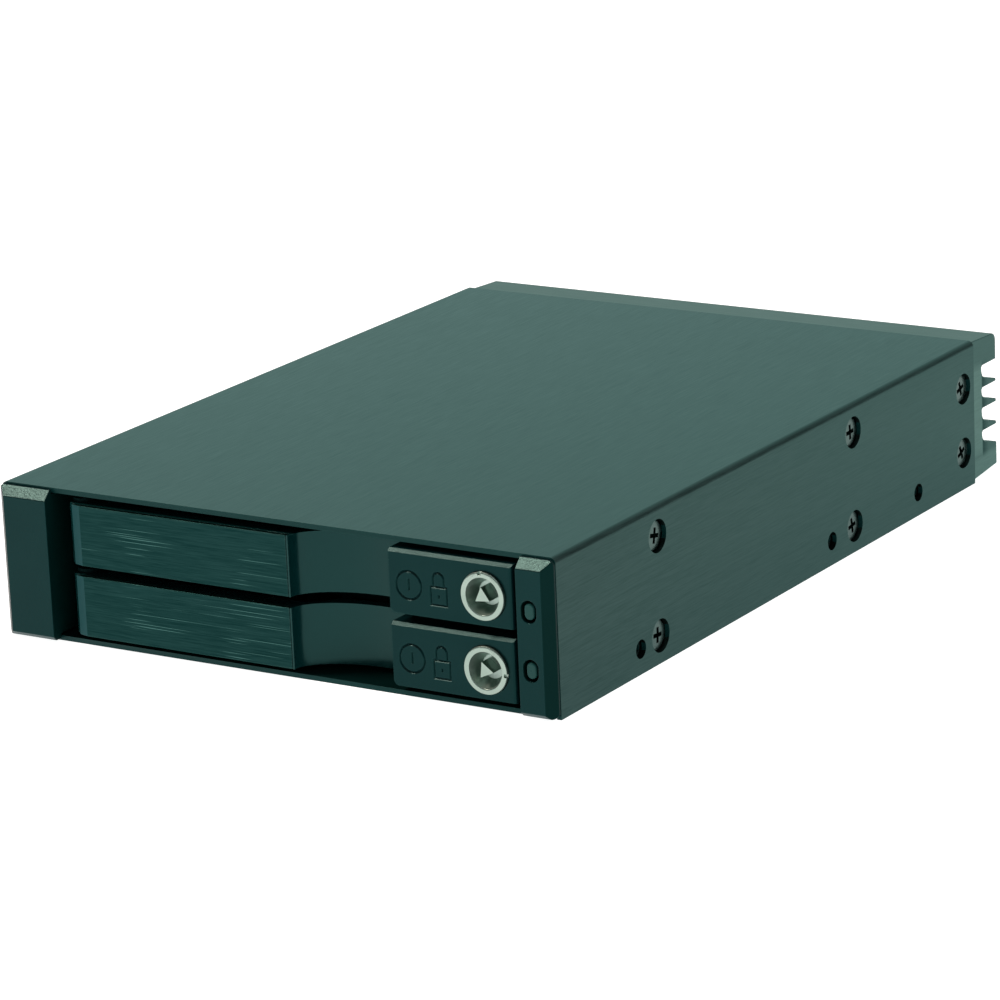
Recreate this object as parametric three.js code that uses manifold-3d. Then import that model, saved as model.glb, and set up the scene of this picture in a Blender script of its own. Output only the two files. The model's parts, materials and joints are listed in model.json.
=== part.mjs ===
// Two-bay 2.5-inch hot-swap drive enclosure for one 3.5-inch bay.
// Millimetres, +Z up, +X to the right seen from the front, +Y towards the rear.
// Inside the group "bay", y = 0 is the front edge of the sheet-metal shell.

import * as THREE from 'three';
import { mergeVertices } from 'three/addons/utils/BufferGeometryUtils.js';
import Module from 'manifold-3d';

const wasm = await Module();
wasm.setup();

// ---------------------------------------------------------------- driving dimensions

const width = 101.6;
const height = 25;
const shellDepth = 136.5;
const frontReach = 2;
const rearReach = 146.5;
const sheet = 0.8;
const bend = 1;
const gap = 0.3;

const insideX = width / 2 - sheet;
const roof = height - sheet;

// Mouth of the two bays, between the inner walls of the front posts.
const mouthLeft = -41.1;
const mouthRight = 44.95;
const bayCentre = (mouthLeft + mouthRight) / 2;

// One 2.5-inch drive, 9.5 mm tall.
const driveWidth = 69.85;
const driveHeight = 9.5;
const driveFront = 15.6;
const driveBack = 115.8;

const bayPitch = 11.5;
const bayFloors = { lower: sheet + gap, upper: sheet + gap + bayPitch };
const trayHeight = 10.9;
const trayWall = 0.8;
const carrierHalf = driveWidth / 2 + 0.2 + trayWall;

// Side screws and the threaded mounting holes, as [y, z].
const sideScrews = [[29.5, 20.2], [29.5, 4.4], [92.8, 20.2], [92.8, 4.4], [132.5, 17.6], [132.5, 6.4]];
const mountingHoles = [[23.5, 4], [84.9, 4], [115.4, 4]];
const mountingRadius = 1.5;
const screwHead = 2.35;
const screwShank = 1.2;
const screwHole = 1.5;

// Front lights in the right post.
const lightX = 47.05;
const lightHeights = { lower: 7.7, upper: 16.8 };
const lightWidth = 1.7;
const lightHeight = 2.6;

// Circuit board behind the drives.
const boardFront = 121.3;
const boardThick = 1.6;
const boardBack = boardFront + boardThick;

// Finned rear end: the fins' tips on the rear plane, as [lower, upper] heights.
const blockFront = 127;
const finRoot = 141.1;
const finSlope = 0.26;
const finFillet = 1.3;
const finTips = [[7.95, 8.49], [11.93, 12.46], [15.55, 16.04]];
const blockBottomTip = [0.9, 4.78];
const blockTopTip = [19.46, 24.2];
const rearWindow = { left: -34, right: 38, low: 3.6, high: 20.8 };

// Lever: plan view of one tray front, with the pivot of its hinge.
const pivotX = -36.8;
const pivotY = 2.6;
const faceY = -1;
const plateThick = 0.8;
const plateRight = 3.6;
const scoopStart = 4;
const scoopEnd = 17;
const scoopDepth = 6.6;
const leverTip = 21.4;
const leverLow = 0.6;
const leverHigh = 10.35;
const pinRadius = 0.75;
const pinHole = 1;
const earRadius = 1.7;
const earLow = 1.8;
const earHigh = 9.2;

// Lock button and lock.
const buttonLeft = 22.1;
const buttonRight = 43.8;
const buttonLow = 0.7;
const buttonHigh = 10.7;
const buttonBack = 6;
const lockX = 38.8;
const lockZ = 5.4;
const lockRing = 3.85;
const lockFront = faceY - 0.6;
const stemX = 27;
const stemRadius = 1.5;
const springRadius = 2.3;
const springWire = 0.5;

// Wall of the tray front that carries the lever and the button, and the screws behind it.
const wallFront = 10.4;
const wallBack = 13.8;
const carrierScrewX = 24;
const carrierScrewZ = 2.8;
const carrierScrewHole = 1.1;
const flangeHigh = 4.6;

// ---------------------------------------------------------------- materials

function finish(color, roughness, metalness) {
  return new THREE.MeshStandardMaterial({ color, roughness, metalness });
}

const blackAluminium = finish(0x24302f, 0.42, 0.9);
const castAluminium = finish(0x2a3635, 0.55, 0.8);
const rearAluminium = finish(0x4c5b57, 0.5, 0.85);
const satinPlastic = finish(0x161d1e, 0.45, 0);
const glossPlastic = finish(0x121a1b, 0.2, 0);
const dullPlastic = finish(0x101415, 0.7, 0);
const chrome = finish(0xd6dbd6, 0.15, 1);
const blackSteel = finish(0x2c3232, 0.35, 1);
const plainSteel = finish(0xa9adab, 0.4, 1);
const boardGreen = finish(0x17402f, 0.5, 0);
const smokedLens = finish(0x5f7f78, 0.25, 0);
const lamp = finish(0xe8e6d8, 0.4, 0);

// ---------------------------------------------------------------- shape helpers

function box(x0, x1, y0, y1, z0, z1) {
  const geometry = new THREE.BoxGeometry(x1 - x0, y1 - y0, z1 - z0);
  return geometry.translate((x0 + x1) / 2, (y0 + y1) / 2, (z0 + z1) / 2);
}

function extrude(shape, depth, steps = 8) {
  return new THREE.ExtrudeGeometry(shape, { depth, bevelEnabled: false, curveSegments: steps });
}

// An outline in (x, z), extruded from y0 to y1.
function extrudeY(shape, y0, y1, steps) {
  return extrude(shape, y1 - y0, steps).rotateX(Math.PI / 2).translate(0, y1, 0);
}

// An outline in (y, z), extruded from x0 to x1.
function extrudeX(shape, x0, x1, steps) {
  return extrude(shape, x1 - x0, steps).rotateX(Math.PI / 2).rotateZ(Math.PI / 2).translate(x0, 0, 0);
}

// An outline in (x, y), extruded from z0 to z1.
function extrudeZ(shape, z0, z1, steps) {
  return extrude(shape, z1 - z0, steps).translate(0, 0, z0);
}

function outline(points) {
  return new THREE.Shape(points.map(([a, b]) => new THREE.Vector2(a, b)));
}

// A solid of revolution from [radius, height] points that start and end on the axis.
function turned(points, sides) {
  return new THREE.LatheGeometry(points.map(([r, h]) => new THREE.Vector2(r, h)), sides);
}

function rod(radius, length, sides = 20) {
  return new THREE.CylinderGeometry(radius, radius, length, sides);
}

function rodX(radius, x0, x1, y, z, sides) {
  return rod(radius, x1 - x0, sides).rotateZ(Math.PI / 2).translate((x0 + x1) / 2, y, z);
}

function rodY(radius, y0, y1, x, z, sides) {
  return rod(radius, y1 - y0, sides).translate(x, (y0 + y1) / 2, z);
}

function rodZ(radius, z0, z1, x, y, sides) {
  return rod(radius, z1 - z0, sides).rotateX(Math.PI / 2).translate(x, y, (z0 + z1) / 2);
}

// An upright stadium in (x, z).
function stadium(x, z, wide, tall) {
  const r = wide / 2;
  const straight = (tall - wide) / 2;
  const shape = new THREE.Shape();
  shape.absarc(x, z + straight, r, 0, Math.PI, false);
  shape.absarc(x, z - straight, r, Math.PI, Math.PI * 2, false);
  return shape;
}

function toManifold(geometry) {
  const bare = geometry.clone();
  bare.deleteAttribute('normal');
  bare.deleteAttribute('uv');
  const merged = mergeVertices(bare, 1e-5);
  return new wasm.Manifold(new wasm.Mesh({
    numProp: 3,
    vertProperties: merged.attributes.position.array,
    triVerts: new Uint32Array(merged.index.array),
  }));
}

function toGeometry(manifold) {
  const mesh = manifold.getMesh();
  const geometry = new THREE.BufferGeometry();
  geometry.setAttribute('position', new THREE.BufferAttribute(mesh.vertProperties, 3));
  geometry.setIndex(new THREE.BufferAttribute(mesh.triVerts, 1));
  return geometry;
}

// The first geometry, with the others joined on.
function join(first, ...others) {
  return toGeometry(others.reduce((sum, part) => sum.add(toManifold(part)), toManifold(first)));
}

// The first geometry, with the others cut away.
function cut(first, ...others) {
  return toGeometry(others.reduce((rest, part) => rest.subtract(toManifold(part)), toManifold(first)));
}

const bay = new THREE.Group();

function add(name, geometry, material, parent = bay) {
  const mesh = new THREE.Mesh(geometry, material);
  mesh.name = name;
  parent.add(mesh);
  return mesh;
}

const sides = [['left', -1], ['right', 1]];

// ---------------------------------------------------------------- shell

// Room for a flat-head screw along side * X: a round hole through the cover and a cone-shaped seat below it.
function screwSeat(side, y, z) {
  const wide = screwHead + gap;
  const low = screwHole + 0.1;
  const seat = turned([[0, -6], [screwHole, -6], [screwHole, low - wide], [low, low - wide], [wide, 0],
    [wide, sheet + 1], [0, sheet + 1]], 16);
  return seat.rotateZ(-side * Math.PI / 2).translate(side * insideX, y, z);
}

function outerCover() {
  const half = width / 2;
  const inner = bend - sheet;
  const outer = new THREE.Shape();
  outer.moveTo(-half, 0);
  outer.lineTo(-insideX, 0);
  outer.lineTo(-insideX, roof - inner);
  outer.absarc(-insideX + inner, roof - inner, inner, Math.PI, Math.PI / 2, true);
  outer.lineTo(insideX - inner, roof);
  outer.absarc(insideX - inner, roof - inner, inner, Math.PI / 2, 0, true);
  outer.lineTo(insideX, 0);
  outer.lineTo(half, 0);
  outer.lineTo(half, height - bend);
  outer.absarc(half - bend, height - bend, bend, 0, Math.PI / 2, false);
  outer.lineTo(-half + bend, height);
  outer.absarc(-half + bend, height - bend, bend, Math.PI / 2, Math.PI, false);
  const holes = [];
  for (const [, side] of sides) {
    for (const [y, z] of sideScrews) {
      holes.push(screwSeat(side, y, z));
    }
    for (const [y, z] of mountingHoles) {
      const ends = [side * (insideX - 1), side * (half + 1)].sort((a, b) => a - b);
      holes.push(rodX(mountingRadius, ends[0], ends[1], y, z, 12));
    }
  }
  return cut(extrudeY(outer, 0, shellDepth, 5), ...holes);
}

function baseChassis() {
  const half = insideX - gap;
  const flangeTop = roof - 0.5;
  const flangeBack = blockFront - 1;
  let body = box(-half, half, 0, shellDepth, 0, sheet);
  const holes = [];
  for (const [, side] of sides) {
    const flange = [side * (half - sheet), side * half].sort((a, b) => a - b);
    const flangeFront = 12.6;
    body = join(body, box(flange[0], flange[1], flangeFront, flangeBack, sheet / 2, flangeTop));
    for (const [y, z] of sideScrews.filter(([at]) => at < flangeBack)) {
      holes.push(screwSeat(side, y, z));
    }
    for (const [y, z] of mountingHoles) {
      holes.push(rodX(mountingRadius - 0.25, flange[0] - 1, flange[1] + 1, y, z, 12));
    }
  }
  return cut(body, ...holes);
}

add('outer_cover', outerCover(), blackAluminium);
add('base_chassis', baseChassis(), blackAluminium);

// Cross-recessed countersunk screw, its head facing out along side * X and turned by angle.
function sideScrew(side, y, z, angle) {
  const rim = -0.1;
  const head = turned([[0, -5], [screwShank, -5], [screwShank, screwShank - screwHead + rim],
    [screwHead, rim], [screwHead, 0], [screwHead - 0.15, 0.1], [0, 0.15]], 16);
  const slotLong = box(-1.35, 1.35, -0.9, 2, -0.28, 0.28);
  const slotWide = box(-0.28, 0.28, -0.9, 2, -1.35, 1.35);
  const screw = cut(head, slotLong, slotWide);
  return screw.rotateY(angle).rotateZ(-side * Math.PI / 2).translate(side * insideX, y, z);
}

for (const [name, side] of sides) {
  sideScrews.forEach(([y, z], index) => {
    const angle = Math.PI / 4 + index * 0.3;
    add(`side_screw_${name}_${index + 1}`, sideScrew(side, y, z, angle), blackSteel);
  });
}

// ---------------------------------------------------------------- front posts and lights

// Post seen in plan, then its top and bottom front edges planed off.
function frontPost(side, inner) {
  const outerX = side * (width / 2 - gap);
  const rootX = side * (insideX - gap);
  const chamfer = 1.5;
  const plan = outline([
    [inner, -frontReach],
    [outerX - side * chamfer, -frontReach],
    [outerX, -frontReach + chamfer],
    [outerX, -gap],
    [rootX, -gap],
    [rootX, 12],
    [inner, 12],
  ]);
  const low = gap;
  const high = height - gap;
  const body = extrudeZ(plan, low, high);
  const wedgeLow = extrudeX(outline([[-3, low - 1], [-frontReach + chamfer + 1, low - 1],
    [-frontReach + chamfer, low], [-frontReach, low + chamfer], [-3, low + chamfer + 1]]), -60, 60);
  const wedgeHigh = extrudeX(outline([[-3, high + 1], [-frontReach + chamfer + 1, high + 1],
    [-frontReach + chamfer, high], [-frontReach, high - chamfer], [-3, high - chamfer - 1]]), -60, 60);
  const under = box(-60, 60, -gap, 20, -5, sheet + gap);
  const over = box(-60, 60, -gap, 20, roof - gap, 30);
  return cut(body, wedgeLow, wedgeHigh, under, over);
}

const lightBores = Object.values(lightHeights).map((z) => (
  extrudeY(stadium(lightX, z, lightWidth + 1.1, lightHeight + 1.1), -10, 20, 8)));

add('left_post', frontPost(-1, mouthLeft), castAluminium);
add('right_post', cut(frontPost(1, mouthRight), ...lightBores), castAluminium);

for (const [level, z] of Object.entries(lightHeights)) {
  const pipeFront = -frontReach + 0.1;
  const pipe = extrudeY(stadium(lightX, z, lightWidth, lightHeight), pipeFront, boardFront - 2.4, 8);
  add(`${level}_light_pipe`, pipe, smokedLens);
  const led = box(lightX - 0.8, lightX + 0.8, boardFront - 1.9, boardFront - 0.1, z - 1, z + 1);
  add(`${level}_led`, led, lamp);
}

// ---------------------------------------------------------------- guide rails

const guideFront = 14.1;
const guideBack = boardFront - gap;
const ribLow = bayFloors.lower + trayWall + driveHeight + gap;
const ribHigh = bayFloors.upper - gap;
const boardScrewHeights = [4.2, 20.8];

function boardScrewX(side) {
  return bayCentre + side * 39.4;
}

// A rail open towards the chassis flange: web, three shelves, and bosses for the side screws.
function guideRail(side) {
  const web = bayCentre + side * (carrierHalf + gap);
  const webBack = web + side * 1.5;
  const shelf = side > 0 ? lightX - lightWidth / 2 - 0.6 : -(insideX - gap - sheet - gap);
  const flange = side * (insideX - gap - sheet - gap);
  const low = sheet + gap;
  const high = roof - gap;
  const span = (a, b, z0, z1, y0 = guideFront, y1 = guideBack) => (
    box(Math.min(a, b), Math.max(a, b), y0, y1, z0, z1));
  let body = span(web, webBack, low, high);
  body = join(
    body,
    span(web, shelf, low, low + 0.8),
    span(web, shelf, high - 0.8, high),
    span(web, shelf, 11.4, 12.9),
    span(web - side * 1.7, webBack, ribLow, ribHigh),
  );
  const holes = [];
  for (const [y, z] of sideScrews.filter(([at]) => at < guideBack)) {
    const boss = z > 12 ? [18.5, high] : [low, 6.1];
    body = join(body, span(web, flange, boss[0], boss[1], y - 3, y + 3));
    const ends = [side * 42, side * 60].sort((a, b) => a - b);
    holes.push(rodX(screwHole, ends[0], ends[1], y, z, 12));
  }
  for (const z of boardScrewHeights) {
    body = join(body, span(web, boardScrewX(side) + side * 3, z - 2.5, z + 2.5, guideBack - 8));
    holes.push(rodY(1.3, guideBack - 6, guideBack + 1, boardScrewX(side), z, 12));
  }
  return cut(body, ...holes);
}

for (const [name, side] of sides) {
  add(`${name}_guide`, guideRail(side), dullPlastic);
}

// ---------------------------------------------------------------- circuit board and its sockets

const socketZ = driveHeight / 2 - 1.2 + trayWall;
const socketX = bayCentre - 4.8;
const socketWide = 42;
const portX = -20;
const portHeights = { lower: 6.8, upper: 17.6 };
const powerX = 14;
const powerZ = 12.3;

function backplaneBoard() {
  const slots = [];
  for (const z of [2.1, 22.4]) {
    for (const x of [-25, -8, 9, 26]) {
      slots.push(box(bayCentre + x - 6, bayCentre + x + 6, boardFront - 1, boardBack + 1, z - 0.7, z + 0.7));
    }
  }
  for (const [, side] of sides) {
    for (const z of boardScrewHeights) {
      slots.push(rodY(screwHole, boardFront - 1, boardBack + 1, boardScrewX(side), z, 12));
    }
  }
  return cut(box(-48, 48.4, boardFront, boardBack, 1.2, roof - 0.4), ...slots);
}

add('backplane_board', backplaneBoard(), boardGreen);

for (const [name, side] of sides) {
  boardScrewHeights.forEach((z, index) => {
    const screw = turned([[0, -5], [1, -5], [1, 0.1], [2.3, 0.1], [2.3, 0.8], [1.6, 1.5], [0, 1.7]], 12);
    const recess = join(box(-1.2, 1.2, 0.9, 3, -0.25, 0.25), box(-0.25, 0.25, 0.9, 3, -1.2, 1.2));
    add(`board_screw_${name}_${index + 1}`,
      cut(screw, recess).translate(boardScrewX(side), boardBack, z), plainSteel);
  });
}

// Drive-side socket with the L-shaped slots for the drive's data and power blades.
function driveSocket(floor) {
  const z = floor + socketZ;
  const front = driveBack + 0.4;
  const half = socketWide / 2;
  const block = box(socketX - half, socketX + half, front, boardFront - 0.1, z - 2.4, z + 2.4);
  const blades = [[-16, -5.5], [-3, 17]];
  const slots = blades.flatMap(([from, to]) => [
    box(socketX + from, socketX + to, front - 1, front + 4.5, z - 0.4, z + 0.8),
    box(socketX + to - 1.2, socketX + to, front - 1, front + 4.5, z - 1.6, z + 0.8),
  ]);
  const tower = (side) => box(
    Math.min(socketX + side * 18, socketX + side * (half + 1)),
    Math.max(socketX + side * 18, socketX + side * (half + 1)),
    front - 1.5, boardFront - 0.1, z - 3, z + 3);
  return cut(join(block, tower(-1), tower(1)), ...slots);
}

// Rear plug: a shroud around a flat tongue.
function rearPort(x, z, wide, tall) {
  const front = boardBack + 0.1;
  const back = front + 8.5;
  const wall = 0.8;
  const outX = wide / 2;
  const outZ = tall / 2;
  const inX = outX - wall;
  const inZ = outZ - wall;
  const shroud = box(x - outX, x + outX, front, back, z - outZ, z + outZ);
  const hollow = box(x - inX, x + inX, front + 1.6, back + 1, z - inZ, z + inZ);
  const tongue = box(x - inX + 1, x + inX - 1, front + 1, back - 1, z - 0.6, z + 0.6);
  return join(cut(shroud, hollow), tongue);
}

for (const [level, floor] of Object.entries(bayFloors)) {
  add(`${level}_drive_socket`, driveSocket(floor), satinPlastic);
  add(`${level}_data_port`, rearPort(portX, portHeights[level], 14.5, 5.4), satinPlastic);
}
add('power_port', rearPort(powerX, powerZ, 24, 6), satinPlastic);

// ---------------------------------------------------------------- finned rear end

// Side view of one notch between two fins: flat on top, with a rounded root
// and a floor that falls to the rear.
function notch(low, high) {
  const floorAt = (y) => low + (rearReach - y) * finSlope;
  const filletY = finRoot + finFillet;
  const shape = new THREE.Shape();
  shape.moveTo(rearReach + 1, high);
  shape.lineTo(finRoot + 0.3, high);
  shape.lineTo(finRoot, high - 0.3);
  shape.quadraticCurveTo(finRoot, floorAt(finRoot) + 0.05, filletY, floorAt(filletY));
  shape.lineTo(rearReach + 1, floorAt(rearReach + 1));
  return shape;
}

function rearBlock() {
  const inner = insideX - gap;
  const round = 1.4;
  const flangeY = shellDepth + gap;
  const core = box(-inner, inner, blockFront, flangeY + 1, sheet + gap, roof - gap);
  const side = new THREE.Shape();
  side.moveTo(flangeY, 0.02);
  side.lineTo(rearReach, blockBottomTip[0]);
  side.lineTo(rearReach, blockTopTip[1] - round);
  side.absarc(rearReach - round, blockTopTip[1] - round, round, 0, Math.PI / 2, false);
  side.lineTo(flangeY, height - 0.4);
  const body = join(core, extrudeX(side, -insideX, insideX, 6));
  const tips = [blockBottomTip, ...finTips, blockTopTip];
  const cuts = tips.slice(1).map((tip, index) => extrudeX(notch(tips[index][1], tip[0]), -60, 60, 6));
  cuts.push(box(rearWindow.left, rearWindow.right, blockFront - 1, rearReach + 1,
    rearWindow.low, rearWindow.high));
  for (const [, sign] of sides) {
    for (const [y, z] of sideScrews.filter(([at]) => at > blockFront)) {
      cuts.push(screwSeat(sign, y, z));
    }
  }
  return cut(body, ...cuts);
}

add('rear_block', rearBlock(), rearAluminium);

// ---------------------------------------------------------------- trays

// Sheet-metal carrier: a floor and two low walls around the drive.
function trayCarrier() {
  const left = bayCentre - carrierHalf;
  const right = bayCentre + carrierHalf;
  const front = wallBack + gap;
  const back = 112;
  const wallHigh = 8.2;
  const floor = box(left, right, front, back, 0, trayWall);
  const holes = [];
  for (const x of [-1, 1]) {
    for (const y of [driveFront + 9.4, driveFront + 86]) {
      holes.push(rodZ(1.6, -1, 3, bayCentre + x * 30.86, y, 12));
    }
    const screwX = bayCentre + x * carrierScrewX;
    holes.push(rodY(carrierScrewHole, front - 1, front + 2, screwX, carrierScrewZ, 12));
  }
  for (let row = 0; row < 4; row += 1) {
    const y = 36 + row * 18;
    holes.push(box(bayCentre - 22, bayCentre - 3, y - 6, y + 6, -1, 3));
    holes.push(box(bayCentre + 3, bayCentre + 22, y - 6, y + 6, -1, 3));
  }
  return cut(join(
    floor,
    box(left, right, front, front + 0.6, 0, flangeHigh),
    box(left, left + trayWall, front, back, 0, wallHigh),
    box(right - trayWall, right, front, back, 0, wallHigh),
  ), ...holes);
}

// Moulded front of a tray: a wall with air slots, two hinge ears and a hole for the button's stem.
function trayFront() {
  const left = mouthLeft + gap;
  const right = mouthRight - gap;
  const wall = box(left, right, wallFront, wallBack, 0, trayHeight);
  const ear = (z0, z1) => join(
    box(pivotX - earRadius, pivotX + earRadius, pivotY, wallFront + 1, z0, z1),
    rodZ(earRadius, z0, z1, pivotX, pivotY, 24),
  );
  const cuts = [
    rodZ(pinHole, -1, trayHeight + 1, pivotX, pivotY, 20),
    rodY(stemRadius + gap, wallFront - 1, wallBack + 1, stemX, trayHeight / 2, 20),
    rodY(stemRadius + gap, wallFront - 1, wallBack + 1, lockX, lockZ, 20),
  ];
  for (let slot = 0; slot < 8; slot += 1) {
    const x = -31 + slot * 6.4;
    cuts.push(box(x, x + 4.6, wallFront - 1, wallBack + 1, flangeHigh, trayHeight - 1.6));
  }
  for (const x of [-carrierScrewX, carrierScrewX]) {
    cuts.push(rodY(carrierScrewHole, wallBack - 3, wallBack + 1, bayCentre + x, carrierScrewZ, 12));
  }
  return cut(join(wall, ear(0, earLow), ear(earHigh, trayHeight)), ...cuts);
}

// Plan of the lever arm: knuckle, back of the plate, elliptical scoop, tip.
function leverPlan() {
  const plan = new THREE.Shape();
  const skin = faceY + plateThick + 0.05;
  const back = 2.6;
  const wallThick = 1.9;
  plan.moveTo(pivotX + 0.3, skin);
  plan.lineTo(plateRight + 0.1, skin);
  plan.lineTo(plateRight + 0.1, faceY);
  plan.lineTo(scoopStart, faceY);
  plan.absellipse(scoopEnd, faceY, scoopEnd - scoopStart, scoopDepth, Math.PI, Math.PI / 2, true);
  plan.lineTo(leverTip, faceY + scoopDepth);
  plan.lineTo(leverTip, faceY + scoopDepth + wallThick);
  plan.lineTo(scoopEnd - 1, faceY + scoopDepth + wallThick);
  plan.lineTo(scoopStart + 4.5, faceY + scoopDepth * 0.85 + wallThick);
  plan.lineTo(scoopStart + 0.5, back);
  plan.lineTo(pivotX + 2, back);
  plan.absarc(pivotX, pivotY, 1.9, Math.PI * 0.2, Math.PI, false);
  plan.lineTo(pivotX - 1.1, skin + 0.5);
  return plan;
}

function leverArm() {
  const pocket = (z0, z1) => rodZ(earRadius + 0.4, z0, z1, pivotX, pivotY, 24);
  const behind = (z0, z1) => box(pivotX - 4, pivotX + 2.4, pivotY, pivotY + 4, z0, z1);
  const low = earLow + gap;
  const high = earHigh - gap;
  return cut(
    extrudeZ(leverPlan(), leverLow, leverHigh, 10),
    rodZ(pinHole, -1, trayHeight + 1, pivotX, pivotY, 20),
    pocket(-1, low),
    pocket(high, trayHeight + 1),
    behind(-1, low),
    behind(high, trayHeight + 1),
    box(-30, scoopStart - 3, 0.9, 3.5, leverLow + 1.5, leverHigh - 1.5),
  );
}

// Brushed facing of the lever, with its left end bent back.
function leverPlate() {
  const back = faceY + plateThick;
  const plan = outline([
    [-35.2, faceY],
    [plateRight, faceY],
    [plateRight, back],
    [-36.4, back],
    [-37, back - 0.1],
  ]);
  return extrudeZ(plan, leverLow, leverHigh);
}

function lockButton() {
  const corner = 0.6;
  const plan = new THREE.Shape();
  plan.moveTo(buttonLeft, faceY);
  plan.lineTo(buttonRight - corner, faceY);
  plan.absarc(buttonRight - corner, faceY + corner, corner, -Math.PI / 2, 0, false);
  plan.lineTo(buttonRight, buttonBack);
  plan.lineTo(buttonLeft, buttonBack);
  const block = extrudeZ(plan, buttonLow, buttonHigh, 4);
  const bevel = extrudeX(outline([[faceY - 1, buttonHigh - 0.5], [faceY, buttonHigh - 0.5],
    [faceY + 0.5, buttonHigh], [faceY + 0.5, buttonHigh + 1], [faceY - 1, buttonHigh + 1]]), 0, 60);
  const stem = rodY(stemRadius, buttonBack - 0.5, wallBack - 2, stemX, trayHeight / 2, 20);
  return cut(
    join(block, stem),
    bevel,
    rodY(lockRing + 0.2, faceY - 1, faceY + 1.2, lockX, lockZ, 28),
    rodY(3.1, faceY, buttonBack + 1, lockX, lockZ, 24),
  );
}

// Turned lock barrel: rim with a notch, dished recess, triangular key post and a cam stem.
function lockBarrel() {
  const rim = lockRing - 1;
  const dish = 2.4;
  const profile = [[0, dish], [1.9, dish], [rim, 0.4], [rim + 0.15, 0], [lockRing - 0.15, 0], [lockRing, 0.2],
    [lockRing, 1.4], [2.8, 1.4], [2.8, 7.6], [1.1, 7.6], [1.1, 11.6], [0, 11.6]];
  const body = turned(profile, 28);
  const post = new THREE.CylinderGeometry(1.45, 1.45, dish + 0.2, 3);
  const indexNotch = box(-0.35, 0.35, -1, 0.8, lockRing - 0.6, lockRing + 1);
  return cut(join(body, post.rotateY(Math.PI).translate(0, dish / 2 + 0.1, 0)), indexNotch);
}

function lockCam() {
  const plate = join(rodY(2.4, 0, 0.8, 0, 0, 20), box(-2, 2, 0, 0.8, -4.4, 0));
  return cut(plate, rodY(1.35, -1, 2, 0, 0, 16));
}

class Coil extends THREE.Curve {
  constructor(radius, length, turns) {
    super();
    this.radius = radius;
    this.length = length;
    this.turns = turns;
  }

  getPoint(t) {
    const angle = t * this.turns * Math.PI * 2;
    return new THREE.Vector3(this.radius * Math.cos(angle), t * this.length, this.radius * Math.sin(angle));
  }
}

function buttonSpring() {
  const wire = new THREE.Shape();
  wire.absarc(0, 0, springWire / 2, 0, Math.PI * 2, false);
  const room = wallFront - buttonBack;
  const path = new Coil(springRadius, room - 1.4, 3);
  const coil = new THREE.ExtrudeGeometry(wire, { extrudePath: path, steps: 30, curveSegments: 3 });
  return coil.translate(stemX, buttonBack + 0.7, trayHeight / 2);
}

// Quarter turns of the lock at rest: the upper notch stands at the top, the lower one points right.
const lockTurns = { lower: Math.PI / 2, upper: 0 };

for (const [level, floor] of Object.entries(bayFloors)) {
  const tray = new THREE.Group();
  tray.position.z = floor;
  bay.add(tray);
  add(`${level}_tray_carrier`, trayCarrier(), plainSteel, tray);
  add(`${level}_tray_front`, trayFront(), dullPlastic, tray);
  [-carrierScrewX, carrierScrewX].forEach((x, index) => {
    const seat = wallBack + gap + 0.6 + 0.05;
    const screw = turned([[0, -3], [0.8, -3], [0.8, 0], [1.6, 0], [1.4, 0.5], [0, 0.6]], 12);
    const placed = screw.translate(bayCentre + x, seat, carrierScrewZ);
    add(`${level}_carrier_screw_${index + 1}`, placed, plainSteel, tray);
  });
  add(`${level}_lever_arm`, leverArm(), glossPlastic, tray);
  add(`${level}_lever_plate`, leverPlate(), blackAluminium, tray);
  add(`${level}_hinge_pin`, rodZ(pinRadius, 0.3, trayHeight - 0.3, pivotX, pivotY, 16), plainSteel, tray);
  add(`${level}_lock_button`, lockButton(), satinPlastic, tray);
  const barrel = add(`${level}_lock_barrel`, lockBarrel(), chrome, tray);
  barrel.position.set(lockX, lockFront, lockZ);
  barrel.rotation.y = lockTurns[level];
  const cam = add(`${level}_lock_cam`, lockCam(), plainSteel, tray);
  cam.position.set(lockX, lockFront + 7.9, lockZ);
  cam.rotation.y = lockTurns[level];
  add(`${level}_button_spring`, buttonSpring(), plainSteel, tray);
}

// The finished enclosure stands on z = 0 with its outline centred on the origin.
const enclosure = new THREE.Group();
bay.position.y = -(rearReach - frontReach) / 2;
enclosure.add(bay);

export default enclosure;
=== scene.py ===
"""Looks for the two-bay drive enclosure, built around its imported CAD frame.

Lengths are millimetres in the bay's own frame: +x to the right seen from the front, +y to the rear,
+z up, and y = 0 at the front edge of the shell. place() turns them into metres in the row frame.
"""

import json
import math

import bmesh
import bpy
from mathutils import Matrix, Vector


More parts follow.
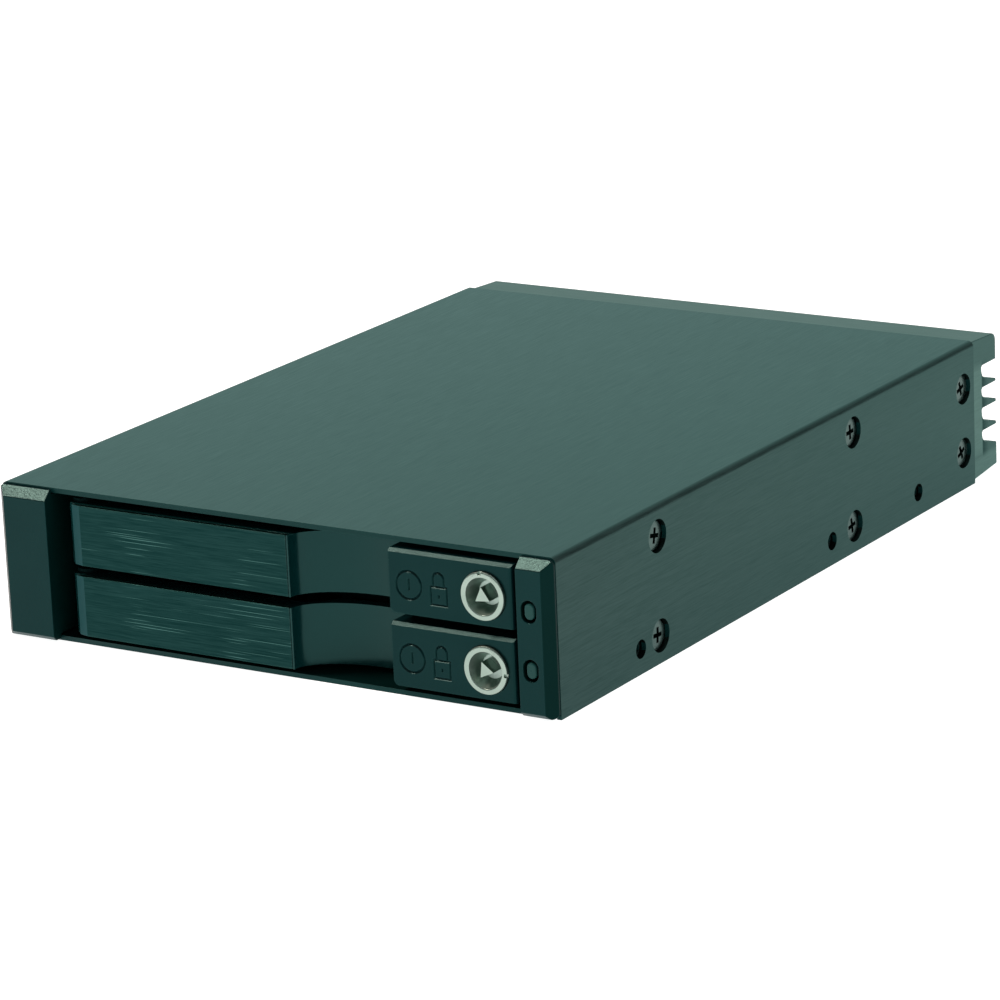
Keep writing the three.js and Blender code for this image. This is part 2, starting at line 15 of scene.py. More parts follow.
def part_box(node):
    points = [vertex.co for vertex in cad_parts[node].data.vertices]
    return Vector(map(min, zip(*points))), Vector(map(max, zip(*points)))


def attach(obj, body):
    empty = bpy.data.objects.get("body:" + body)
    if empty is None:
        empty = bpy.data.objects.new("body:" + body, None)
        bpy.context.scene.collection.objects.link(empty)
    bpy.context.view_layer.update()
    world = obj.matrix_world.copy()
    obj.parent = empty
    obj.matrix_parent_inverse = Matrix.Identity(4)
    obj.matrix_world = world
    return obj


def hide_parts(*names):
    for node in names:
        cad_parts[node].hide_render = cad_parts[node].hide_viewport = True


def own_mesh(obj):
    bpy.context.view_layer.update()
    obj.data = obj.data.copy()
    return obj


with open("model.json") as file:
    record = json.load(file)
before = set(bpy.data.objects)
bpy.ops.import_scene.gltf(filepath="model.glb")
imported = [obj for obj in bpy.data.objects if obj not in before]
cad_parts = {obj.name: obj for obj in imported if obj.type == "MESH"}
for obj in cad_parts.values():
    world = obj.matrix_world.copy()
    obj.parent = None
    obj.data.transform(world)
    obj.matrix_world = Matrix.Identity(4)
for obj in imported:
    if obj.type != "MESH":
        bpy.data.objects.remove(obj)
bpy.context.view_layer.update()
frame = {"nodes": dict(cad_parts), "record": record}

MM = 0.001
SHELL_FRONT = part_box("outer_cover")[0].y


def place(x, y, z):
    """A point of the bay, in the row frame."""
    return Vector((x * MM, y * MM + SHELL_FRONT, z * MM))


def span(node):
    """Lowest and highest corner of a CAD node, in the bay's millimetres."""
    shift = Vector((0, SHELL_FRONT, 0))
    low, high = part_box(node)
    return (low - shift) / MM, (high - shift) / MM


# ---------------------------------------------------------------- driving sizes

COVER_HIGH = span("outer_cover")[1]
HALF = COVER_HIGH.x
HEIGHT = COVER_HIGH.z
DEPTH = COVER_HIGH.y
SHEET = 0.8
BEND = 1.0
GAP = 0.3
SEAM = 0.06
BEYOND = 60
INSIDE = HALF - SHEET
ROOF = HEIGHT - SHEET

LEVELS = ("lower", "upper")
SIDES = (("left", -1), ("right", 1))
FLOORS = {level: span(f"{level}_tray_front")[0].z for level in LEVELS}
TRAY_HEIGHT = 10.9

POST_FRONT = span("left_post")[0].y
POST_BACK = span("left_post")[1].y
POST_CHAMFER = 1.5
POST_FOOT = 0.7
POST_CORNER = 0.8
MOUTH = {"left": span("left_post")[1].x, "right": span("right_post")[0].x}

LENS_WIDE = 1.7
LENS_TALL = 2.6
LENS_GROOVE = 0.9

SCREW_COUNT = 6
REAR_SCREWS = (5, 6)
SCREW_HEAD = 2.35
SCREW_SHANK = 1.2
SCREW_LENGTH = 5
CROSS_ARM = 1.25
CROSS_HALF = 0.34
BOARD_SCREW = (2.3, 1.0)
CARRIER_SCREW = (1.6, 0.8)
MOUNT_HOLES = ((23.5, 4.0), (84.9, 4.0), (115.4, 4.0))
MOUNT_RADIUS = 1.5

PLATE_LOW, PLATE_HIGH = span("lower_lever_plate")
FACE = PLATE_LOW.y
LEVER_LOW = PLATE_LOW.z - FLOORS["lower"]
LEVER_HIGH = PLATE_HIGH.z - FLOORS["lower"]
PLATE_THICK = 0.8
PLATE_RIGHT = PLATE_HIGH.x
PLATE_FOLD = -35.2
FOLD_SET_BACK = 0.45
PIVOT = (-36.8, 2.6)
SCOOP_START = 4.0
SCOOP_END = 17.0
SCOOP_DEPTH = 6.6
LEVER_TIP = 21.4
LEVER_BACK = 2.6
LEVER_WALL = 1.9
LEVER_POCKET = ((-30.0, 1.0), (0.9, 3.5))
POCKET_RIM = 1.5
KNUCKLE_RADIUS = 1.9
PIN_HOLE = 1.0
EAR_POCKET = 2.1
EAR_HEIGHTS = (2.1, 8.9)

BUTTON_LOW, BUTTON_HIGH = span("lower_lock_button")
BUTTON_FLOOR = BUTTON_LOW.z - FLOORS["lower"]
BUTTON_ROOF = BUTTON_HIGH.z - FLOORS["lower"]
BUTTON_BACK = 6.0
BUTTON_CORNER = 0.6
BUTTON_CHAMFER = 0.5
BUTTON_FOOT = 0.9
STEM_X = 27.0
STEM_RADIUS = 1.5
STEM_Z = TRAY_HEIGHT / 2
ICON_LINE = 0.44
ICON_DEPTH = 0.24
POWER_SIGN = (25.55, 5.3)
POWER_RADIUS = 2.2
POWER_STROKE = (-0.8, 1.0)
PADLOCK = (30.8, 4.2)
PADLOCK_HALF = 1.4
BOW_RADIUS = 0.95
BOW_LEGS = 1.3
KEYHOLE = (-0.3, 0.25)

LOCK_X = 38.8
LOCK_Z = 5.4
LOCK_RING = 3.78
LOCK_GAP = 0.07
LOCK_FRONT = span("lower_lock_barrel")[0].y
LOCK_TURNS = {"lower": 96, "upper": -6}
LOCK_BORE = 3.1
LOCK_RIM = 1.0
LOCK_HEAD = 1.4
LOCK_BODY = (2.8, 7.6)
LOCK_SHAFT = (1.1, 11.6)
NOTCH_HALF = 0.28
NOTCH_DEPTH = 0.4
DISH_FLOOR = 1.9
DISH_DEPTH = 2.4
KEY_POST = 1.45

SPRING_RADIUS = 2.3
SPRING_WIRE = 0.5
SPRING_TURNS = 3

BLOCK_LOW, BLOCK_HIGH = span("rear_block")
REAR = BLOCK_HIGH.y
FIN_ROOT = 141.1
FIN_SLOPE = 0.26
FIN_FILLET = 1.3
FIN_TIPS = ((0.9, 4.78), (7.95, 8.49), (11.93, 12.46), (15.55, 16.04), (19.46, 24.2))
BLOCK_ROUND = 1.4
BLOCK_BORE = 1.6
PALE_FOOT = (3.2, 4.4)
PALE_CREST = (18.8, 20.6)
WINDOW = (-34.0, 38.0, 3.6, 20.8)
CONTACT_PITCH = 1.27
CONTACT_HALF = 0.35
TONGUE_RISE = 0.6

AIM = place(2.16, 61.92, 11.37)
DISTANCE = 0.770
AZIMUTH, ELEVATION, ROLL = 32.56, 16.235, -2.503
FOCAL_LENGTH, SENSOR_WIDTH = 170.59, 36
FLOOR_REACH = 4.0


# ---------------------------------------------------------------- shapes

# How a prism's outline (a, b) and the length t along its axis make a point.
AXES = {
    "x": lambda a, b, t: (t, a, b),
    "y": lambda a, b, t: (a, t, b),
    "z": lambda a, b, t: (a, b, t),
}


def solid(name, points, faces):
    """A mesh object from points in the bay's millimetres, with its faces pointing out."""
    mesh = bpy.data.meshes.new(name)
    mesh.from_pydata([place(*point) for point in points], [], faces)
    shell = bmesh.new()
    shell.from_mesh(mesh)
    bmesh.ops.remove_doubles(shell, verts=shell.verts, dist=1e-7)
    bmesh.ops.recalc_face_normals(shell, faces=shell.faces)
    shell.to_mesh(mesh)
    shell.free()
    piece = bpy.data.objects.new(name, mesh)
    bpy.context.scene.collection.objects.link(piece)
    return piece


def prism(name, outline, axis, low, high):
    """An outline across an axis, drawn out from low to high along it."""
    at = AXES[axis]
    count = len(outline)
    points = [at(a, b, t) for t in (low, high) for a, b in outline]
    caps = [list(range(count)), list(range(count, 2 * count))]
    walls = [[i, (i + 1) % count, count + (i + 1) % count, count + i] for i in range(count)]
    return solid(name, points, caps + walls)


def block(name, x, y, z):
    """A box from its (low, high) pairs along x, y and z."""
    outline = [(x[0], y[0]), (x[1], y[0]), (x[1], y[1]), (x[0], y[1])]
    return prism(name, outline, "z", z[0], z[1])


def arc(a, b, radius, start, end, steps=12, radius_b=None):
    """Points of an arc or ellipse round (a, b), from one angle to another in degrees."""
    tall = radius if radius_b is None else radius_b
    angles = [math.radians(start + (end - start) * i / steps) for i in range(steps + 1)]
    return [(a + radius * math.cos(t), b + tall * math.sin(t)) for t in angles]


def circle(a, b, radius, steps=48):
    return arc(a, b, radius, 0, 360, steps)[:-1]


def stadium(a, b, wide, tall):
    """An upright stadium."""
    radius = wide / 2
    straight = (tall - wide) / 2
    return arc(a, b + straight, radius, 0, 180, 16) + arc(a, b - straight, radius, 180, 360, 16)


def turned(name, profile, axis, centre, side=1, steps=64):
    """A solid of revolution: (radius, height) points that start and end on the axis.

    The axis runs along x or y through centre, and heights grow along side times it.
    """
    rings = []
    points = []
    for radius, height in profile:
        turns = steps if radius > 0 else 1
        rings.append(range(len(points), len(points) + turns))
        for i in range(turns):
            t = 2 * math.pi * i / steps
            across = (radius * math.cos(t), radius * math.sin(t))
            if axis == "x":
                points.append((centre[0] + side * height, centre[1] + across[0], centre[2] + across[1]))
            else:
                points.append((centre[0] + across[0], centre[1] + side * height, centre[2] + across[1]))
    faces = []
    for one, two in zip(rings, rings[1:]):
        for i in range(steps):
            j = (i + 1) % steps
            corners = [one[i % len(one)], one[j % len(one)], two[j % len(two)], two[i % len(two)]]
            faces.append(list(dict.fromkeys(corners)))
    return solid(name, points, faces)


def combine(piece, operation, tools):
    """The piece with every tool cut away or joined on, as a plain mesh."""
    for tool in tools:
        change = piece.modifiers.new("combine", "BOOLEAN")
        change.operation = operation
        change.solver = "EXACT"
        change.object = tool
    evaluated = piece.evaluated_get(bpy.context.evaluated_depsgraph_get())
    mesh = bpy.data.meshes.new_from_object(evaluated)
    piece.modifiers.clear()
    piece.data = mesh
    for tool in tools:
        bpy.data.objects.remove(tool)
    return piece


def cut(piece, *tools):
    return combine(piece, "DIFFERENCE", tools)


def join(piece, *tools):
    return combine(piece, "UNION", tools)


def soften(piece, width, segments=3, angle=28):
    """Rounded edges with clean shading."""
    flatten(piece.data)
    bevel = piece.modifiers.new("edges", "BEVEL")
    bevel.width = width * MM
    bevel.segments = segments
    bevel.limit_method = "ANGLE"
    bevel.angle_limit = math.radians(angle)
    bevel.use_clamp_overlap = True
    bevel.harden_normals = True
    piece.data.shade_smooth()
    return piece


def flatten(mesh):
    """Joins the flat triangles of a mesh into whole faces."""
    work = bmesh.new()
    work.from_mesh(mesh)
    bmesh.ops.remove_doubles(work, verts=work.verts, dist=2e-6)
    bmesh.ops.dissolve_limit(
        work, angle_limit=math.radians(0.5), verts=work.verts, edges=work.edges, delimit={"NORMAL"}
    )
    work.to_mesh(mesh)
    work.free()


def copied(node):
    """A free copy of a CAD node's mesh."""
    source = frame["nodes"][node]
    piece = bpy.data.objects.new(f"{node}_piece", source.data.copy())
    piece.data.materials.clear()
    bpy.context.scene.collection.objects.link(piece)
    return piece


BODIES = {node: body for body, nodes in frame["record"]["behaviour"]["bodies"].items() for node in nodes}


def dress(piece, look, chosen):
    """Gives the faces for which chosen(face) holds a material of their own."""
    piece.data.materials.append(look)
    for face in piece.data.polygons:
        if chosen(face):
            face.material_index = len(piece.data.materials) - 1


def on_chamfer(face):
    """True for a face that slopes up and to the front."""
    return face.normal.y < -0.5 and face.normal.z > 0.5


def stand_for(piece, node, look):
    """The piece shows in place of a CAD node, on the same body, with the given look."""
    piece.data.materials.clear()
    piece.data.materials.append(look)
    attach(piece, BODIES[node])
    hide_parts(node)
    return piece


# ---------------------------------------------------------------- materials

class Look:
    """A Principled material, with short calls for the nodes that feed it."""

    def __init__(self, name, rough, metal=0.0, **sockets):
        self.data = bpy.data.materials.new(name)
        self.data.use_nodes = True
        self.tree = self.data.node_tree
        self.shader = self.tree.nodes["Principled BSDF"]
        self.shader.inputs["Roughness"].default_value = rough
        self.shader.inputs["Metallic"].default_value = metal
        for socket, value in sockets.items():
            self.shader.inputs[socket.replace("_", " ")].default_value = value
        self.coords = self.node("ShaderNodeTexCoord").outputs["Object"]

    def node(self, kind, links=None, **settings):
        made = self.tree.nodes.new(kind)
        for key, value in settings.items():
            setattr(made, key, value)
        for socket, value in (links or {}).items():
            if isinstance(value, bpy.types.NodeSocket):
                self.tree.links.new(value, made.inputs[socket])
            else:
                made.inputs[socket].default_value = value
        return made

    def feed(self, socket, value):
        self.tree.links.new(value, self.shader.inputs[socket])

    def noise(self, scale, detail=3.0, rough=0.55):
        """Noise with so many cells per metre along x, y and z."""
        stretched = self.node("ShaderNodeMapping", {"Vector": self.coords, "Scale": scale})
        links = {"Vector": stretched.outputs["Vector"], "Scale": 1.0, "Detail": detail, "Roughness": rough}
        return self.node("ShaderNodeTexNoise", links).outputs["Fac"]

    def between(self, value, low, high, start=0.0, end=1.0):
        """The value's stretch from low to high, mapped to start..end."""
        links = {"Value": value, "From Min": low, "From Max": high, "To Min": start, "To Max": end}
        return self.node("ShaderNodeMapRange", links).outputs["Result"]

    def blend(self, factor, one, two):
        """A colour between two colours."""
        mixer = self.node("ShaderNodeMix", data_type="RGBA")
        for index, value in ((0, factor), (6, one), (7, two)):
            if isinstance(value, bpy.types.NodeSocket):
                self.tree.links.new(value, mixer.inputs[index])
            else:
                mixer.inputs[index].default_value = value
        return mixer.outputs[2]

    def sum(self, one, two, operation="ADD"):
        return self.node("ShaderNodeMath", {0: one, 1: two}, operation=operation).outputs["Value"]

    def bump(self, height, distance):
        """A surface that rises with the height, by up to so many millimetres."""
        links = {"Height": height, "Distance": distance * MM, "Strength": 1.0}
        return self.node("ShaderNodeBump", links).outputs["Normal"]

    def edges(self, radius):
        """1 along edges, 0 on flat faces: the mask for edge wear and a painted edge highlight."""
        rounded = self.node("ShaderNodeBevel", {"Radius": radius * MM}, samples=4)
        shape = self.node("ShaderNodeNewGeometry")
        links = {0: rounded.outputs["Normal"], 1: shape.outputs["Normal"]}
        facing = self.node("ShaderNodeVectorMath", links, operation="DOT_PRODUCT").outputs["Value"]
        return self.between(facing, 0.98, 0.8)


def tone(red, green, blue):
    """An opaque linear colour."""
    return (red, green, blue, 1.0)


def along(axis, across, lengthwise):
    """Cells per metre for lines that run along an axis."""
    return tuple(lengthwise if name == axis else across for name in "xyz")


def brushed(name, axis, dark, light, edge_wear_and_highlight_tone, rough, metal, tint, scratch=0.0, depth=0.004):
    """Brushed and anodised aluminium, with its grain along one axis."""
    look = Look(name, rough, metal, Specular_Tint=tint)
    fine = look.noise(along(axis, 6500, 260), 2.0)
    dashes = look.noise(along(axis, 3200, 95), 2.0, 0.6)
    grain = look.sum(fine, dashes)
    shade = look.blend(look.between(grain, 0.72, 1.28), dark, light)
    if scratch:
        patches = look.between(look.noise((90, 90, 90), 1.0), 0.35, 0.65, 0.82, 1.0)
        marks = look.sum(look.noise(along(axis, 6500, 62), 0.0), patches, "MULTIPLY")
        shade = look.blend(look.between(marks, 0.68, 0.74, 0.0, scratch), shade, tone(0.10, 0.24, 0.22))
    # Edges lighten towards the given tone: partly wear, partly a painted edge highlight.
    edge_wear_and_highlight = look.sum(look.edges(0.35), look.between(dashes, 0.35, 0.7), "MULTIPLY")
    look.feed("Base Color", look.blend(look.sum(edge_wear_and_highlight, 0.6, "MULTIPLY"), shade, edge_wear_and_highlight_tone))
    look.feed("Roughness", look.between(grain, 0.6, 1.4, rough - 0.06, rough + 0.07))
    look.feed("Normal", look.bump(grain, depth))
    return look.data


def moulded(name, dark, light, edge_wear_and_highlight_tone, rough, grain_size, depth, specular, tint=(1, 1, 1, 1)):
    """Plastic or paint with a fine moulded grain, a little uneven, and lighter at its edges from wear and a
    painted edge highlight.
    """
    look = Look(name, rough, 0.0, Specular_IOR_Level=specular, Specular_Tint=tint)
    cells = 1000 / grain_size
    grain = look.noise((cells, cells, cells), 3.0)
    cloud = look.noise((60, 60, 60), 3.0)
    shade = look.blend(look.between(cloud, 0.3, 0.7), dark, light)
    speck = look.between(grain, 0.35, 0.75)
    # Edges lighten towards the given tone: partly wear, partly a painted edge highlight.
    edge_wear_and_highlight = look.sum(look.edges(0.3), speck, "MULTIPLY")
    look.feed("Base Color", look.blend(edge_wear_and_highlight, shade, edge_wear_and_highlight_tone))
    look.feed("Roughness", look.between(look.sum(grain, cloud), 0.6, 1.4, rough - 0.06, rough + 0.08))
    look.feed("Normal", look.bump(grain, depth))
    return look.data


def plated(name, dark, light, rough, grain_size, depth):
    """Bare or plated metal: polished, with fine marks and a slight stain."""
    look = Look(name, rough, 1.0)
    cells = 1000 / grain_size
    grain = look.noise((cells, cells, cells), 3.0)
    cloud = look.noise((240, 240, 240), 3.0)
    look.feed("Base Color", look.blend(look.between(cloud, 0.3, 0.7), dark, light))
    look.feed("Roughness", look.between(look.sum(grain, cloud), 0.6, 1.4, rough * 0.7, rough * 1.5))
    look.feed("Normal", look.bump(grain, depth))
    return look.data


def flank_look():
    """Side of the rear block: anodised, with a painted highlight on the strip before the fins' roots, paler
    below the fins, and painted shade at the roots.
    """
    look = Look("rear_block_flank", 0.38, 1.0, Specular_Tint=tone(0.72, 1.0, 0.96))
    grain = look.noise(along("y", 4200, 260), 2.0)
    at = look.node("ShaderNodeSeparateXYZ", {"Vector": look.coords}).outputs
    root = place(0, FIN_ROOT, 0).y
    above_foot = look.between(at["Z"], *[height * MM for height in PALE_FOOT])
    below_crest = look.between(at["Z"], *[height * MM for height in PALE_CREST], 1.0, 0.0)
    fins = look.sum(above_foot, below_crest, "MULTIPLY")
    # Lighter strip before the fins' roots, within the fins' height, is a painted highlight; below the fins
    # the side is simply paler.
    before_root = look.between(at["Y"], root - 0.1 * MM, root + 0.2 * MM, 1.0, 0.0)
    foot = look.between(above_foot, 0.0, 1.0, 1.0, 0.0)
    strip_highlight_and_pale_foot = look.sum(look.sum(before_root, fins, "MULTIPLY"), foot, "MAXIMUM")
    # Darker at the fins' roots and fading towards their tips: painted shade.
    behind_root = look.between(before_root, 0.0, 1.0, 1.0, 0.0)
    root_shade_fade = look.between(at["Y"], root + 0.6 * MM, root + 2.4 * MM, 1.0, 0.1)
    dark = look.sum(look.sum(behind_root, root_shade_fade, "MULTIPLY"), fins, "MULTIPLY")
    plain = look.blend(grain, tone(0.026, 0.046, 0.042), tone(0.046, 0.074, 0.068))
    shade = look.blend(strip_highlight_and_pale_foot, plain, tone(0.070, 0.112, 0.100))
    look.feed("Base Color", look.blend(dark, shade, tone(0.001, 0.006, 0.005)))
    look.feed("Roughness", look.between(grain, 0.3, 0.7, 0.33, 0.44))
    look.feed("Normal", look.bump(grain, 0.006))
    return look.data


def circuit_look():
    """Solder mask over copper: traces show as slightly lighter, raised lines."""
    look = Look("board_mask", 0.35, 0.0, Specular_IOR_Level=0.5)
    lanes = look.node("ShaderNodeMapping", {"Vector": look.coords, "Scale": (900, 900, 900)})
    cells = look.node("ShaderNodeTexVoronoi", {"Vector": lanes.outputs["Vector"], "Scale": 0.5},
                      distance="MANHATTAN", feature="F1")
    trace = look.between(cells.outputs["Distance"], 0.35, 0.42)
    weave = look.noise((2600, 2600, 2600), 2.0)
    mask = look.blend(trace, tone(0.010, 0.085, 0.045), tone(0.018, 0.14, 0.07))
    look.feed("Base Color", look.blend(look.between(weave, 0.4, 0.8, 0.0, 0.3), mask, tone(0.03, 0.10, 0.06)))
    look.feed("Roughness", look.between(weave, 0.3, 0.7, 0.28, 0.42))
    look.feed("Normal", look.bump(look.sum(trace, look.sum(weave, 0.2, "MULTIPLY")), 0.03))
    return look.data


TEAL_EDGE = tone(0.55, 0.95, 0.90)

LOOKS = {
    "cover": brushed("cover_brushed", "y", tone(0.018, 0.031, 0.029), tone(0.034, 0.056, 0.053),
                     tone(0.035, 0.065, 0.06), 0.38, 1.0, tone(0.72, 1.0, 0.96), depth=0.006),
    "plate": brushed("plate_brushed", "x", tone(0.005, 0.027, 0.026), tone(0.014, 0.050, 0.048),
                     tone(0.06, 0.11, 0.10), 0.40, 1.0, TEAL_EDGE, scratch=0.6),
    "plate_end": moulded("plate_end_smooth", tone(0.003, 0.046, 0.052), tone(0.006, 0.058, 0.062),
                         tone(0.02, 0.09, 0.09), 0.30, 0.4, 0.002, 0.12, tone(0.4, 1.0, 0.98)),
    "cut_edge": moulded("cover_cut_edge", tone(0.002, 0.022, 0.022), tone(0.004, 0.030, 0.030),
                        tone(0.01, 0.05, 0.045), 0.35, 0.3, 0.01, 0.22, tone(0.40, 1.0, 0.92)),
    "cast": moulded("cast_black", tone(0.001, 0.014, 0.016), tone(0.002, 0.019, 0.021),
                    tone(0.02, 0.06, 0.055), 0.21, 0.28, 0.024, 0.20, tone(0.30, 1.0, 0.92)),
    # Brighter, more reflective copy of the cast black for the posts' upper front chamfers: painted highlight.
    "cast_painted_highlight": moulded("cast_black_painted_highlight", tone(0.004, 0.016, 0.016), tone(0.010, 0.024, 0.023),
                         tone(0.03, 0.06, 0.05), 0.21, 0.24, 0.034, 0.27, tone(0.42, 1.0, 0.92)),
    # More reflective copy of the cast black for the posts' lower chamfers: painted highlight.
    "cast_foot_painted_highlight": moulded("cast_black_foot_painted_highlight", tone(0.001, 0.014, 0.016), tone(0.002, 0.019, 0.021),
                         tone(0.02, 0.06, 0.055), 0.30, 0.28, 0.024, 0.40, tone(0.40, 1.0, 0.95)),
    # Darker, less reflective copy of the cast black for faces that lie in shade: painted shade.
    "cast_painted_shade": moulded("cast_black_painted_shade", tone(0.001, 0.012, 0.011), tone(0.002, 0.016, 0.015),
                          tone(0.01, 0.035, 0.03), 0.35, 0.28, 0.012, 0.08, tone(0.30, 1.0, 0.90)),
    "rear_flank": flank_look(),
    "rear": brushed("rear_anodised", "x", tone(0.048, 0.110, 0.100), tone(0.062, 0.134, 0.121),
                    tone(0.12, 0.19, 0.18), 0.45, 1.0, tone(0.85, 1.0, 0.96)),
    "satin": moulded("satin_plastic", tone(0.001, 0.013, 0.015), tone(0.002, 0.017, 0.019),
                     tone(0.02, 0.06, 0.055), 0.21, 0.30, 0.012, 0.19, tone(0.28, 1.0, 0.92)),
    # Duller copy of the satin plastic for the buttons' top chamfers: painted shade.
    "satin_painted_shade": moulded("satin_plastic_painted_shade", tone(0.003, 0.013, 0.014), tone(0.006, 0.018, 0.019),
                          tone(0.02, 0.05, 0.045), 0.22, 0.24, 0.020, 0.10, tone(0.40, 1.0, 0.95)),
    "gloss": moulded("gloss_plastic", tone(0.001, 0.018, 0.019), tone(0.002, 0.024, 0.024),
                     tone(0.02, 0.06, 0.055), 0.18, 0.8, 0.003, 0.34, tone(0.40, 1.0, 0.94)),
    "dull": moulded("dull_plastic", tone(0.001, 0.010, 0.011), tone(0.002, 0.014, 0.015),
                    tone(0.01, 0.03, 0.028), 0.6, 0.3, 0.02, 0.1, tone(0.5, 1.0, 0.9)),
    "chrome": plated("chrome_plate", tone(0.28, 0.37, 0.32), tone(0.34, 0.43, 0.38), 0.16, 0.25, 0.001),
    "dish": plated("lock_dish", tone(0.32, 0.42, 0.38), tone(0.40, 0.50, 0.45), 0.36, 0.25, 0.001),
    "screw": plated("black_steel", tone(0.045, 0.085, 0.077), tone(0.08, 0.13, 0.12), 0.30, 0.2, 0.01),
    "steel": plated("plain_steel", tone(0.32, 0.38, 0.36), tone(0.42, 0.48, 0.46), 0.3, 0.3, 0.01),
    "gold": plated("contact_gold", tone(0.52, 0.36, 0.12), tone(0.66, 0.48, 0.18), 0.25, 0.2, 0.004),
    "lens": moulded("smoked_lens", tone(0.006, 0.045, 0.042), tone(0.010, 0.058, 0.054),
                    tone(0.02, 0.08, 0.07), 0.3, 0.5, 0.003, 0.25, tone(0.6, 1.0, 0.92)),
    "lamp": moulded("lamp_body", tone(0.60, 0.62, 0.55), tone(0.70, 0.72, 0.64),
                    tone(0.75, 0.77, 0.70), 0.35, 0.3, 0.004, 0.5),
    "board": circuit_look(),
}


# ---------------------------------------------------------------- shell

SCREWS = {}
for side_name, side_sign in SIDES:
    for number in range(1, SCREW_COUNT + 1):
        low, high = span(f"side_screw_{side_name}_{number}")
        SCREWS[side_name, number] = ((low.y + high.y) / 2, (low.z + high.z) / 2)


def side_bores(radius, centres, start, end):
    """Round tools along x through both sides of the shell, from start to end off the middle."""
    tools = []
    for _, side in SIDES:
        low, high = sorted((side * start, side * end))
        for y, z in centres:
            tools.append(prism("tool", circle(y, z, radius), "x", low, high))
    return tools


def outer_cover():
    """Folded sheet with straight round holes for the side screws' heads and plain mounting holes."""
    inner = BEND - SHEET
    outline = [(HALF, 0)]
    outline += arc(HALF - BEND, HEIGHT - BEND, BEND, 0, 90)
    outline += arc(-HALF + BEND, HEIGHT - BEND, BEND, 90, 180)
    outline += [(-HALF, 0), (-INSIDE, 0)]
    outline += arc(-INSIDE + inner, ROOF - inner, inner, 180, 90, 6)
    outline += arc(INSIDE - inner, ROOF - inner, inner, 90, 0, 6)
    outline += [(INSIDE, 0)]
    shell = prism("outer_cover_skin", outline, "y", 0, DEPTH)
    centres = [SCREWS["right", number] for number in range(1, SCREW_COUNT + 1)]
    tools = side_bores(SCREW_HEAD + GAP, centres, INSIDE - 1, HALF + 1)
    tools += side_bores(MOUNT_RADIUS, MOUNT_HOLES, INSIDE - 1, HALF + 1)
    return soften(cut(shell, *tools), 0.14)


def side_screw(name, side, centre, turn):
    """Countersunk screw with a cross recess, facing out of one side."""
    profile = [
        (0, -SCREW_LENGTH), (SCREW_SHANK - 0.2, -SCREW_LENGTH), (SCREW_SHANK, 0.2 - SCREW_LENGTH),
        (SCREW_SHANK, -1.3), (SCREW_HEAD, -0.12), (SCREW_HEAD, 0.0), (SCREW_HEAD - 0.12, 0.1),
        (1.4, 0.2), (0, 0.24),
    ]
    at = (side * INSIDE, centre[0], centre[1])
    head = turned(name, profile, "x", at, side)
    depth = (at[0] - side * 1.0, at[0] + side * 0.5)
    spin = math.radians(turn)
    tools = []
    for half_y, half_z in ((CROSS_ARM, CROSS_HALF), (CROSS_HALF, CROSS_ARM)):
        corners = [(-half_y, -half_z), (half_y, -half_z), (half_y, half_z), (-half_y, half_z)]
        spun = [(a * math.cos(spin) - b * math.sin(spin) + at[1],
                 a * math.sin(spin) + b * math.cos(spin) + at[2]) for a, b in corners]
        tools.append(prism("tool", spun, "x", min(depth), max(depth)))
    return soften(cut(head, *tools), 0.12, 2)


cover = stand_for(outer_cover(), "outer_cover", LOOKS["cover"])
dress(cover, LOOKS["cut_edge"], lambda face: face.normal.y < -0.9 or face.normal.z < -0.9)
chassis = stand_for(soften(copied("base_chassis"), 0.1, 2, 32), "base_chassis", LOOKS["cover"])
dress(chassis, LOOKS["cut_edge"], lambda face: face.normal.y < -0.9)
# Upward faces of the chassis, down inside the bays, take the darker cast copy: painted shade.
dress(chassis, LOOKS["cast_painted_shade"], lambda face: face.normal.z > 0.9)
for (side_name, number), centre in SCREWS.items():
    side_sign = dict(SIDES)[side_name]
    node = f"side_screw_{side_name}_{number}"
    stand_for(side_screw(f"{node}_head", side_sign, centre, number * 7 - 18), node, LOOKS["screw"])


# ---------------------------------------------------------------- front posts and lights

def light_centre(level):
    """Centre of a light on the post's face, as x and z."""
    low, high = span(f"{level}_light_pipe")
    return (low.x + high.x) / 2, (low.z + high.z) / 2


def post_corner(x, z, side, up):
    """Tool that rounds a post's outer corner at (x, z), all along y."""
    centre = (x - side * POST_CORNER, z + up * POST_CORNER)
    corner = [(centre[0] + side * POST_CORNER * math.sin(t), centre[1] - up * POST_CORNER * math.cos(t))
              for t in (math.radians(10 * step) for step in range(10))]
    outside = [(x + side, centre[1]), (x + side, z - up), (centre[0], z - up)]
    return prism("tool", corner + outside, "y", POST_FRONT - 1, POST_BACK + 1)


